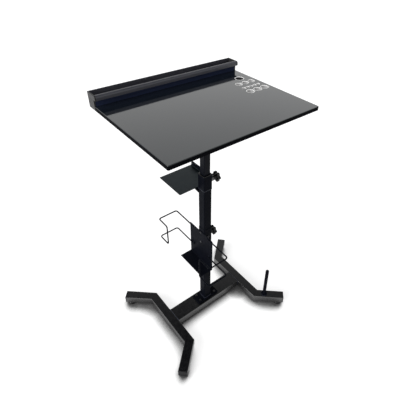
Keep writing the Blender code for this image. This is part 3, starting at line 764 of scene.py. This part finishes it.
def hex_bolt(low, high):
    """Hexagon head with its turned chamfer and washer face, from the bolt's box."""
    middle = (low + high) / 2
    flat = (high.y - low.y) / 2
    seat = high.z - BOLT_HEAD
    face = seat + BOLT_WASHER_T
    round_r = flat * BOLT_CHAMFER
    columns = []
    for index, (x, y) in enumerate(circle(1.0, BOLT_SIDES)):
        turn = 2 * math.pi * index / BOLT_SIDES
        reach = flat / math.cos(turn % (math.pi / 3) - math.pi / 6)
        drop = max(0.0, reach - round_r) * math.tan(math.pi / 6)
        sections = ((flat * CORE, seat), (flat * BOLT_WASHER, seat), (flat * BOLT_WASHER, face),
                    (reach, face), (reach, high.z - drop), (min(reach, round_r), high.z),
                    (flat * TIP, high.z))
        columns.append([(middle.x + size * x, middle.y + size * y, level) for size, level in sections])
    return loft(list(zip(*columns)))


def fasten(prefix, node, body, axis, head, make=cross_screw):
    """Head of a screw or rivet from its node's box; axis is the way that it is driven."""
    low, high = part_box(node)
    size = high - low
    radius = (size.x if axis.z else size.z) / 2
    seat = (low + high) / 2 - axis * (abs(size.dot(axis)) / 2 - head)
    add(prefix + node, make(seat, axis, radius, head), body, oxide, node)


def leg_way(side, end):
    return Vector((side * math.sin(SPLAY), end * math.cos(SPLAY), 0))


def foot_sections(side, level):
    """Centre and sideways vector of each cross-section along a foot."""
    sections = []
    for end in (-1, 1):
        bend = Vector((side * FOOT_X, end * BEND_Y, level))
        way = leg_way(side, end)
        across = Z_AXIS.cross(way) * end
        mitre = (across - X_AXIS).normalized()
        half = [(bend, mitre / mitre.dot(across)), (bend + way * (LEG - PLUG_HEAD), across)]
        sections += half[::end]
    return sections


def frame_tube(name, sections, width, height, node):
    """Tube of the foot frame through centres with sideways vectors."""
    outer, inner = [], []
    for rings, wall in ((outer, 0), (inner, TUBE_WALL)):
        outline = rounded(width - 2 * wall, height - 2 * wall, TUBE_CORNER - wall)
        rings += [ring(outline, point, way, Z_AXIS) for point, way in sections]
    # Upward faces take the foot coat. The side faces take its lighter copy with a painted sheen.
    split_looks(add(name, hollow(outer, inner), "base", [foot_coat, painted_sheen_side_coat], node))


def make_feet():
    """Bent feet, their plugs and glides."""
    for name, side in (("left", -1), ("right", 1)):
        low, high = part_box("foot_" + name)
        level = (low.z + high.z) / 2
        frame_tube("foot_tube_" + name, foot_sections(side, level), FOOT_W, TUBE, "foot_" + name)
        for place, end in (("front", -1), ("rear", 1)):
            make_leg_end(f"{name}_{place}", side, end, level)


def make_leg_end(name, side, end, level):
    """Plug with a dished face, and the fluted glide under the leg."""
    way = leg_way(side, end)
    sideways = Z_AXIS.cross(way)
    mouth = Vector((side * FOOT_X, end * BEND_Y, level)) + way * (LEG - PLUG_HEAD)
    wall = 2 * TUBE_WALL + 2 * TUBE_RIM
    body = rounded(FOOT_W - wall, TUBE - wall, TUBE_CORNER - TUBE_WALL)
    rings = [ring(body, mouth + way * step, sideways, Z_AXIS) for step in (-PLUG_BODY, TUBE_RIM)]
    head = edge_rings(TUBE_RIM, PLUG_HEAD, TUBE_RIM, PLUG_ROUND)
    head += [(inset, PLUG_HEAD - depth) for inset, depth in PLUG_DISH]
    for inset, step in head:
        outline = rounded(FOOT_W - 2 * inset, TUBE - 2 * inset, TUBE_CORNER)
        rings.append(ring(outline, mouth + way * step, sideways, Z_AXIS))
    add("plug_cap_" + name, loft(rings), "base", plug_plastic, "plug_" + name)
    low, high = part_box("glide_" + name)
    middle = (low + high) / 2
    radius = (high.x - low.x) / 2
    top = high.z - low.z - GLIDE_STEM
    shoulder = top - GLIDE_SHOULDER
    profile = [(radius * CORE, 0.0)]
    profile += [(radius - inset, rise) for inset, rise in GLIDE_FOOT]
    profile.append((radius, shoulder / 2))
    profile += [(radius - inset, shoulder + rise) for inset, rise in GLIDE_CROWN]
    profile += [(radius - GLIDE_SHOULDER, top), (radius * CORE, top)]
    bm = turned(profile, (middle.x, middle.y, low.z), Z_AXIS, GLIDE_SIDES, GLIDE_FLUTES, FLUTE_DEPTH)
    add("glide_pad_" + name, bm, "base", plastic, "glide_" + name)


def make_beam():
    """Crossbeam, column plate and its bolts."""
    low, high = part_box("crossbeam")
    level = (low.z + high.z) / 2
    sections = [(Vector((place, 0, level)), Y_AXIS) for place in (low.x, high.x)]
    frame_tube("crossbeam_tube", sections, high.y - low.y, high.z - low.z, "crossbeam")
    bm = slab(*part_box("column_plate"), PLATE_CORNER, CUT_EDGE, PLATE_ROUND)
    add("column_foot_plate", bm, "base", coat, "column_plate")
    for index in range(1, 5):
        bm = hex_bolt(*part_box(f"column_bolt_{index}"))
        add(f"hex_bolt_{index}", bm, "base", oxide, f"column_bolt_{index}")


def make_column():
    """Outer tube, collar, bush and boss, drilled for the upper stud."""
    low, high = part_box("lock_boss")
    axis_z = (low.z + high.z) / 2
    tube = square_pipe("column_tube", "outer_column", "base", coat)
    collar = square_pipe("column_collar", "collar", "base", coat, *SLEEVE)
    bush = make_bush()
    radius = (high.z - low.z) / 2
    length = high.x - low.x
    groove = radius - GROOVE_DEPTH
    outer = [(radius - BOSS_EDGE, 0), (radius, BOSS_EDGE)]
    outer += [(size, length * share) for size, share in zip((radius, groove, groove, radius), BOSS_GROOVE)]
    outer += [(radius, length - BOSS_ROUND), (radius - BOSS_ROUND, length)]
    rings, bore = ([ring(circle(size), (low.x + step, 0, axis_z), Y_AXIS, Z_AXIS) for size, step in profile]
                   for profile in (outer, ((STUD_BORE, 0), (STUD_BORE, length))))
    add("zinc_boss", hollow(rings, bore), "base", zinc, "lock_boss")
    drill((tube, collar, bush), 0, high.x, axis_z)


def make_bush():
    """Plastic guide bush with a rounded flange on the tube's mouth."""
    low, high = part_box("guide_bush")
    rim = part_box("outer_column")[1].z + TUBE_RIM
    side = high.x - low.x
    body = TUBE - 2 * TUBE_WALL - 2 * TUBE_RIM
    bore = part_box("inner_column")[1].x * 2 + 2 * TUBE_RIM
    outer = [level_square(body, TUBE_CORNER - TUBE_WALL, level) for level in (low.z, rim)]
    outer += [level_square(side - 2 * inset, SLEEVE_CORNER - inset, level)
              for inset, level in edge_rings(rim, high.z, TUBE_RIM / 2, BUSH_ROUND)]
    inner = [level_square(bore, TUBE_CORNER, level) for level in (low.z, high.z)]
    return add("column_bush", hollow(outer, inner), "base", plastic, "guide_bush")


def make_shelf():
    """Folded shelf and the web under it."""
    low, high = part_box("shelf")
    middle = low.z + SHEET / 2
    right = high.x - SHEET / 2
    outline = folded(((low.x, middle), (right, middle), (right, high.z)), (SHEET_BEND,))
    bm = prism(outline, low.y, high.y, X_AXIS, Y_AXIS)
    split_looks(add("shelf_sheet", bm, "base", [shelf_coat, coat], "shelf", CUT_EDGE))
    low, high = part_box("shelf_web")
    foot = high.x / 2
    web = ((low.x, high.z), (-foot, low.z), (foot, low.z), (high.x, high.z))
    bm = prism(web, low.y, high.y, X_AXIS, Y_AXIS)
    add("shelf_gusset", bm, "base", coat, "shelf_web", CUT_EDGE)


def make_post():
    """Post for a roll, with its round seat and domed end."""
    low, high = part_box("roll_post")
    middle = (low + high) / 2
    radius = (high.x - low.x) / 2
    length = high.z - low.z
    arc = quarter(ROUND_STEPS)
    profile = [(radius * CORE, 0.0), (radius - CUT_EDGE, 0.0), (radius, CUT_EDGE)]
    profile += [(radius - SEAT_ROUND * (1 - cos), POST_SEAT - SEAT_ROUND * (1 - sin)) for cos, sin in arc]
    profile += [(POST_R + POST_FILLET * (1 - sin), POST_SEAT + POST_FILLET * (1 - cos)) for cos, sin in arc]
    for cos, sin in quarter(DOME_STEPS)[:-1]:
        profile.append((POST_R * cos, length - POST_DOME * (1 - sin)))
    bm = turned(profile, (middle.x, middle.y, low.z), Z_AXIS)
    add("roll_post_bar", bm, "base", coat, "roll_post")


def make_knob(node, body):
    """Star knob with rounded lobes, a filleted hub and a sunk cap in its face."""
    low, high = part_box(node)
    middle = (low.z + high.z) / 2
    radius = high.y
    start, end = low.x, high.x
    hub_end = start + KNOB_HUB
    arc = quarter(KNOB_STEPS)
    rounds = [(STUD_BORE, hub_end + KNOB_BORE), (STUD_BORE, start)]
    rounds += [(KNOB_HUB_R - KNOB_HUB_EDGE, start), (KNOB_HUB_R, start + KNOB_HUB_EDGE)]
    rounds += [(KNOB_HUB_R + KNOB_FILLET * (1 - cos), hub_end - KNOB_FILLET * (1 - sin))
               for cos, sin in quarter(ROUND_STEPS)]
    lobes = [(KNOB_ROUND * (1 - sin), hub_end + KNOB_ROUND * (1 - cos)) for cos, sin in arc]
    lobes += [(KNOB_ROUND * (1 - cos), end - KNOB_ROUND * (1 - sin)) for cos, sin in arc]
    steps = [(circle(size, KNOB_SIDES), place) for size, place in rounds]
    for inset, place in lobes:
        steps.append((rippled(radius - inset, KNOB_LOBES, KNOB_LOBE_DEPTH, KNOB_SIDES), place))
    steps += [(circle(size, KNOB_SIDES), end - depth) for size, depth in KNOB_CAP]
    rings = [ring(outline, (place, 0, middle), Y_AXIS, Z_AXIS) for outline, place in steps]
    add("star_" + node, loft(rings), body, plastic, node)


def cut_holes(top, low, high):
    """Cup and ink cap holes, each with a sunk ring round its mouth."""
    cutter = bmesh.new()
    ledge = high.z - RIM_DEPTH
    for radius, y, row in CUP_HOLES:
        rim = radius + min(RIM_WIDTH, RIM_SHARE * radius)
        profile = ((radius + CUT_EDGE, low.z - CUT_EDGE), (radius, low.z + CUT_EDGE),
                   (radius, ledge - CUT_EDGE), (radius + CUT_EDGE / 2, ledge),
                   (rim, ledge), (rim + RIM_DEPTH, high.z + RIM_DEPTH))
        for x in row:
            capped(cutter, [ring(circle(size, HOLE_SIDES), (x, y, level), X_AXIS, Y_AXIS)
                            for size, level in profile])
    cut_with(top, cutter)


def make_top():
    """Work top with its holes, seat plate, screws and inner tube."""
    low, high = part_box("work_top")
    gloss, edge, back, core, pale = range(5)
    looks = [top_gloss, edge_band, board_back, board_core, hole_rim]
    bm = slab(low, high, TOP_CORNER, BOARD_ROUND, TOP_ROUND)
    top = add("top_board", bm, "lift", looks, "work_top")
    cut_holes(top, low, high)
    holes = [(x, y, radius) for radius, y, row in CUP_HOLES for x in row]
    cup_x, cup_y, cup_r = holes[0]
    for face in top.data.polygons:
        spot = face.center
        near = any(math.hypot(spot.x - x, spot.y - y) < radius + RIM_WIDTH + RIM_DEPTH
                   for x, y, radius in holes)
        if near and spot.z < high.z - RIM_DEPTH / 4:
            in_cup = math.hypot(spot.x - cup_x, spot.y - cup_y) < cup_r + CUT_EDGE
            bore = back if in_cup else core
            face.material_index = pale if spot.z > high.z - RIM_DEPTH - CUT_EDGE else bore
        elif face.normal.z < -FACE_UP:
            face.material_index = back
        else:
            face.material_index = edge if face.normal.z < FACE_UP else gloss
    bm = slab(*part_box("seat_plate"), SEAT_CORNER, PLATE_ROUND, CUT_EDGE)
    add("seat_plate_sheet", bm, "lift", coat, "seat_plate")
    for index in range(1, 5):
        fasten("pan_", f"seat_screw_{index}", "lift", Z_AXIS, SCREW_HEAD)
    square_pipe("lift_tube", "inner_column", "lift", lift_coat)


def make_trough():
    """Folded bottle trough, its end plates and screws."""
    low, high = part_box("bottle_trough")
    half = SHEET / 2
    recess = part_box("work_top")[1].y + TUBE_RIM
    wall = recess + half
    corners = (
        (high.y - half, high.z),
        (high.y - half, low.z + half),
        (wall, low.z + half),
        (wall, high.z - half),
        (low.y + half, high.z - half),
        (low.y + half, high.z - LIP_DROP),
    )
    outline = folded(corners, (SHEET_BEND, SHEET_BEND, SHEET_BEND, LIP_BEND))
    bm = prism(outline, low.x, high.x, Y_AXIS, X_AXIS)
    looks = [trough_satin, trough_recess_painted_shade]
    channel = add("trough_channel", bm, "lift", looks, "bottle_trough", CUT_EDGE)
    # The wall under the lip takes the darker copy, as painted shade.
    for face in channel.data.polygons:
        in_painted_shade = abs(face.center.y - recess) < TUBE_RIM and face.normal.y < -FACE_UP
        face.material_index = 1 if in_painted_shade else 0
    lip = LIP_BEND + half
    profile = [(high.y, low.z), (high.y, high.z)]
    profile += [(low.y + lip * (1 - sin), high.z - lip * (1 - cos)) for cos, sin in quarter(BEND_STEPS)]
    profile += [(low.y, high.z - LIP_DROP), (recess, high.z - LIP_DROP), (recess, low.z)]
    for name in ("left", "right"):
        start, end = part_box("trough_end_" + name)
        bm = prism(profile, start.x, end.x, Y_AXIS, X_AXIS)
        add("end_cap_" + name, bm, "lift", end_satin, "trough_end_" + name, TROUGH_END_ROUND)
    for index in range(1, 4):
        fasten("pan_", f"trough_screw_{index}", "lift", -Y_AXIS, SCREW_HEAD)


def wire_points(end, low, high):
    """Centre line of a wire loop from its box: end is 1 at the rear and -1 at the front."""
    inner, outer = high.x - WIRE_R, low.x + WIRE_R
    upper, lower = high.z - WIRE_R, low.z + WIRE_R
    start, far = sorted((abs(low.y), abs(high.y)))
    far -= WIRE_R
    half = [(inner, start), (inner, far), (outer, far), (outer, WIRE_DROP_Y)]
    corners = [Vector((x, end * y, upper)) for x, y in half]
    corners += [Vector((x, end * y, lower)) for x, y in reversed(half)]
    points = [corners[0]]
    for before, corner, after in zip(corners, corners[1:], corners[2:]):
        back = (before - corner).normalized()
        ahead = (after - corner).normalized()
        centre = corner + (back + ahead) * WIRE_BEND
        points += [centre - WIRE_BEND * (ahead * cos + back * sin) for cos, sin in quarter(WIRE_STEPS)]
    points.append(corners[-1])
    return points


def with_round_ends(points):
    """Path and radii of a wire whose cut ends are rounded."""
    ends = []
    for tip, after in ((points[0], points[1]), (points[-1], points[-2])):
        way = (after - tip).normalized()
        ends.append([(tip + way * WIRE_R * share, WIRE_R * size) for share, size in WIRE_END])
    stations = ends[0] + [(point, WIRE_R) for point in points[1:-1]] + ends[1][::-1]
    return [point for point, _ in stations], [radius for _, radius in stations]


def make_holder():
    """Sleeve, nut, plate with a ledge, rivets, screw and wire loops."""
    low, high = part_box("holder_sleeve")
    level = (low.z + high.z) / 2
    sleeve = square_pipe("holder_tube", "holder_sleeve", "glove_holder", coat, *SLEEVE)
    low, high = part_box("holder_nut")
    rings = []
    for inset, place in edge_rings(low.x, high.x, TUBE_RIM, NUT_ROUND):
        size = high.y - low.y - 2 * inset
        rings.append(ring(rounded(size, size, TUBE_CORNER), (place, 0, level), Y_AXIS, Z_AXIS))
    nut = add("holder_nut_block", loft(rings), "glove_holder", oxide, "holder_nut")
    drill((sleeve, nut), NUT_DRILL, 2 * high.x, level)
    low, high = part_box("holder_plate")
    middle = high.x - SHEET / 2
    ledge = low.z + SHEET / 2
    outline = folded(((middle, high.z), (middle, ledge), (low.x, ledge)), (SHEET_BEND,))
    bm = prism(outline, low.y, high.y, X_AXIS, Y_AXIS)
    add("holder_sheet", bm, "glove_holder", coat, "holder_plate", CUT_EDGE)
    for index in (1, 2):
        fasten("pop_", f"holder_rivet_{index}", "glove_holder", X_AXIS, RIVET_HEAD, rivet)
    fasten("pan_", "holder_screw", "glove_holder", Y_AXIS, RIVET_HEAD)
    for name, end in (("rear", 1), ("front", -1)):
        node = "wire_loop_" + name
        path, radii = with_round_ends(wire_points(end, *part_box(node)))
        bm = bmesh.new()
        sweep(bm, path, radii, WIRE_SIDES)
        add("bent_wire_" + name, bm, "glove_holder", coat, node)


def weld_base():
    """Beads on the foot frame, column, collar, shelf and post."""
    bm = bmesh.new()
    low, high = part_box("crossbeam")
    level = (low.z + high.z) / 2
    for side in (-1, 1):
        end = (side * (high.x + FRAME_BEAD_OUT), 0, level)
        square_bead(bm, high.y - low.y, high.z - low.z, end, Y_AXIS, Z_AXIS, FRAME_BEAD)
    side = TUBE + 2 * FRAME_BEAD_OUT
    foot = (0, 0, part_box("outer_column")[0].z + COLUMN_BEAD_UP)
    square_bead(bm, side, side, foot, X_AXIS, Y_AXIS, COLUMN_BEAD)
    low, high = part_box("collar")
    side = TUBE + 2 * COLLAR_BEAD_OUT
    square_bead(bm, side, side, (0, 0, low.z), X_AXIS, Y_AXIS, COLLAR_BEAD)
    rear = high.y + BEAD_OUT
    reach = high.x - SHELF_BEAD_END
    low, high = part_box("lock_boss")
    level = (low.z + high.z) / 2
    radius = (high.z - low.z) / 2 + BEAD_OUT
    bead(bm, ring(circle(radius), (low.x, 0, level), Y_AXIS, Z_AXIS), SHEET_BEAD, X_AXIS)
    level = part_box("shelf")[0].z + SHEET + SHELF_BEAD_UP
    seam(bm, (-reach, rear, level), (reach, rear, level), SHEET_BEAD)
    low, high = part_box("shelf_web")
    front = low.y + WEB_BEAD_IN
    seam(bm, (-WEB_BEAD_HALF, front, low.z), (WEB_BEAD_HALF, front, low.z), SHEET_BEAD)
    left, right = low.x + WEB_BEAD_END, high.x - WEB_BEAD_END
    seam(bm, (left, high.y, high.z), (right, high.y, high.z), SMALL_BEAD)
    low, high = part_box("roll_post")
    middle = (low + high) / 2
    radius = (high.x - low.x) / 2 + POST_BEAD_OUT
    seat = (middle.x, middle.y, low.z + POST_BEAD_OUT)
    bead(bm, ring(circle(radius), seat, X_AXIS, Y_AXIS), SMALL_BEAD, Z_AXIS)
    add("weld_beads_base", bm, "base", weld_coat_painted_highlight)


def weld_lift():
    """Bead under the seat plate."""
    bm = bmesh.new()
    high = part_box("inner_column")[1]
    side = 2 * high.x + 2 * FRAME_BEAD_OUT
    square_bead(bm, side, side, (0, 0, high.z - BEAD_OUT), X_AXIS, Y_AXIS, FRAME_BEAD)
    add("weld_beads_lift", bm, "lift", weld_coat_painted_highlight)


def weld_holder():
    """Short beads along the wires, and one round the nut."""
    bm = bmesh.new()
    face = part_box("holder_plate")[1].x - SHEET - BEAD_OUT
    for name, end in (("rear", 1), ("front", -1)):
        low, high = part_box("wire_loop_" + name)
        start = min(abs(low.y), abs(high.y))
        for level in (high.z - WIRE_R, low.z + WIRE_R):
            for along in WIRE_BEAD_PLACES:
                for side in (-1, 1):
                    spots = [(face, end * (start + along + step), level + side * WIRE_R)
                             for step in (-WIRE_BEAD_HALF, WIRE_BEAD_HALF)]
                    seam(bm, *spots, WIRE_BEAD, X_AXIS)
    low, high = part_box("holder_nut")
    side = high.y - low.y + 2 * NUT_BEAD_OUT
    square_bead(bm, side, side, (low.x, 0, (low.z + high.z) / 2), Y_AXIS, Z_AXIS, NUT_BEAD)
    add("weld_beads_holder", bm, "glove_holder", weld_coat_painted_highlight)


def dress_left_nodes():
    """Procedural finishes on the CAD nodes that stay."""
    by_slot = {COAT: coat, GLOSS: top_gloss, SATIN: trough_satin, PLASTIC: plastic, OXIDE: oxide, ZINC: zinc}
    for node in frame["nodes"].values():
        for place in node.material_slots:
            place.material = by_slot.get(place.material.name.split(".")[0], coat)


make_feet()
make_beam()
make_column()
make_shelf()
make_post()
make_top()
make_trough()
make_holder()
make_knob("height_knob", "height_lock")
make_knob("holder_knob", "holder_lock")
weld_base()
weld_lift()
weld_holder()
dress_left_nodes()

# Floor, world and camera
FLOOR_HALF = 15
FLOOR_DROP = 0.0002  # below the glides
FLOOR_TONE = 0.50
SHADOW_TONE = 0.09
FLOOR_LIFT = 0.75
SHADOW_REACH = 0.062
SHADOW_RANGE = (0.48, 0.80)
SHADOW_LEAN = (0.55, 0.45, 0.70)
WORLD_LEVEL = 0.32
CEILING_LEVEL = 0.03
WALL_TOP = math.sin(math.radians(40))
CEILING_START = math.sin(math.radians(61))
PICTURE = 400  # pixels across and down
FOCAL = 361.06
CENTRE = (224.10, 186.52)
CAMERA_PLACE = (-0.5781, -0.7588, 1.3415)
CAMERA_ANGLES = (-41.080, 37.018, 2.151)  # turn, height and roll


def make_floor():
    """Pale floor whose white lift gives way to a contact shadow close to the object."""
    bm = bmesh.new()
    bmesh.ops.create_grid(bm, x_segments=1, y_segments=1, size=FLOOR_HALF)
    floor = shaped("floor", bm)
    floor.location.z = -FLOOR_DROP
    look = bpy.data.materials.new("floor_pale")
    nodes = Nodes(look)
    nodes.tree.nodes.clear()
    lean = nodes.node("ShaderNodeCombineXYZ")
    for socket, value in zip(lean.inputs, Vector(SHADOW_LEAN).normalized()):
        socket.default_value = value
    sky = nodes.node("ShaderNodeAmbientOcclusion")
    sky.inputs["Distance"].default_value = SHADOW_REACH
    nodes.link(lean.outputs["Vector"], sky.inputs["Normal"])
    paint = nodes.node("ShaderNodeBsdfDiffuse")
    tone = nodes.remap(sky.outputs["AO"], *SHADOW_RANGE, SHADOW_TONE, FLOOR_TONE)
    nodes.link(tone, paint.inputs["Color"])
    glow = nodes.node("ShaderNodeEmission")
    lift = nodes.remap(sky.outputs["AO"], *SHADOW_RANGE, 0, FLOOR_LIFT)
    nodes.link(nodes.join("MULTIPLY", nodes.seen_rays(), lift), glow.inputs["Strength"])
    both = nodes.node("ShaderNodeAddShader")
    nodes.link(paint.outputs[0], both.inputs[0])
    nodes.link(glow.outputs[0], both.inputs[1])
    nodes.link(both.outputs[0], nodes.node("ShaderNodeOutputMaterial").inputs["Surface"])
    floor.data.materials.append(look)


def make_world():
    """White walls under a darker ceiling; the camera sees white all over."""
    world = bpy.data.worlds.new("studio")
    bpy.context.scene.world = world
    nodes = Nodes(world)
    back = nodes.tree.nodes["Background"]
    back.inputs["Color"].default_value = (*WHITE, 1)
    parts = nodes.node("ShaderNodeSeparateXYZ")
    nodes.link(nodes.node("ShaderNodeTexCoord").outputs["Generated"], parts.inputs["Vector"])
    room = nodes.remap(parts.outputs["Z"], WALL_TOP, CEILING_START, 1.0, CEILING_LEVEL,
                       interpolation_type="SMOOTHSTEP")
    camera = nodes.node("ShaderNodeLightPath").outputs["Is Camera Ray"]
    white = nodes.join("MAXIMUM", camera, room)
    level = nodes.remap(nodes.seen_rays(), 0, 1, WORLD_LEVEL, 1.0)
    nodes.link(nodes.join("MULTIPLY", white, level), back.inputs["Strength"])


def make_sun(name, way, strength, spread):
    """Broad soft light that shines along way."""
    data = bpy.data.lights.new(name, "SUN")
    data.energy = strength
    data.angle = math.radians(spread)
    lamp = placed(name, data)
    lamp.rotation_euler = Vector(way).to_track_quat("-Z", "Y").to_euler()


def make_camera():
    """Camera of the photograph, solved from the object's corners."""
    turn, height, roll = (math.radians(angle) for angle in CAMERA_ANGLES)
    data = bpy.data.cameras.new("camera")
    data.lens = FOCAL / PICTURE * data.sensor_width
    data.shift_x = (PICTURE / 2 - CENTRE[0]) / PICTURE
    data.shift_y = (CENTRE[1] - PICTURE / 2) / PICTURE
    camera = placed("camera", data)
    matrix = Matrix.Translation(CAMERA_PLACE)
    for angle, axis in ((turn, "Z"), (math.pi / 2 - height, "X"), (roll, "Z")):
        matrix = matrix @ Matrix.Rotation(angle, 4, axis)
    camera.matrix_world = matrix
    bpy.context.scene.camera = camera


make_floor()
make_world()
make_sun("key", way=(1.0, -0.10, -0.52), strength=2.8, spread=50)
make_sun("fill", way=(0.80, 0.10, -1.0), strength=0.5, spread=70)
make_sun("front", way=(0.35, 1.0, -0.45), strength=0.8, spread=80)
make_camera()
bpy.context.scene.view_settings.view_transform = "Standard"

bpy.context.view_layer.update()
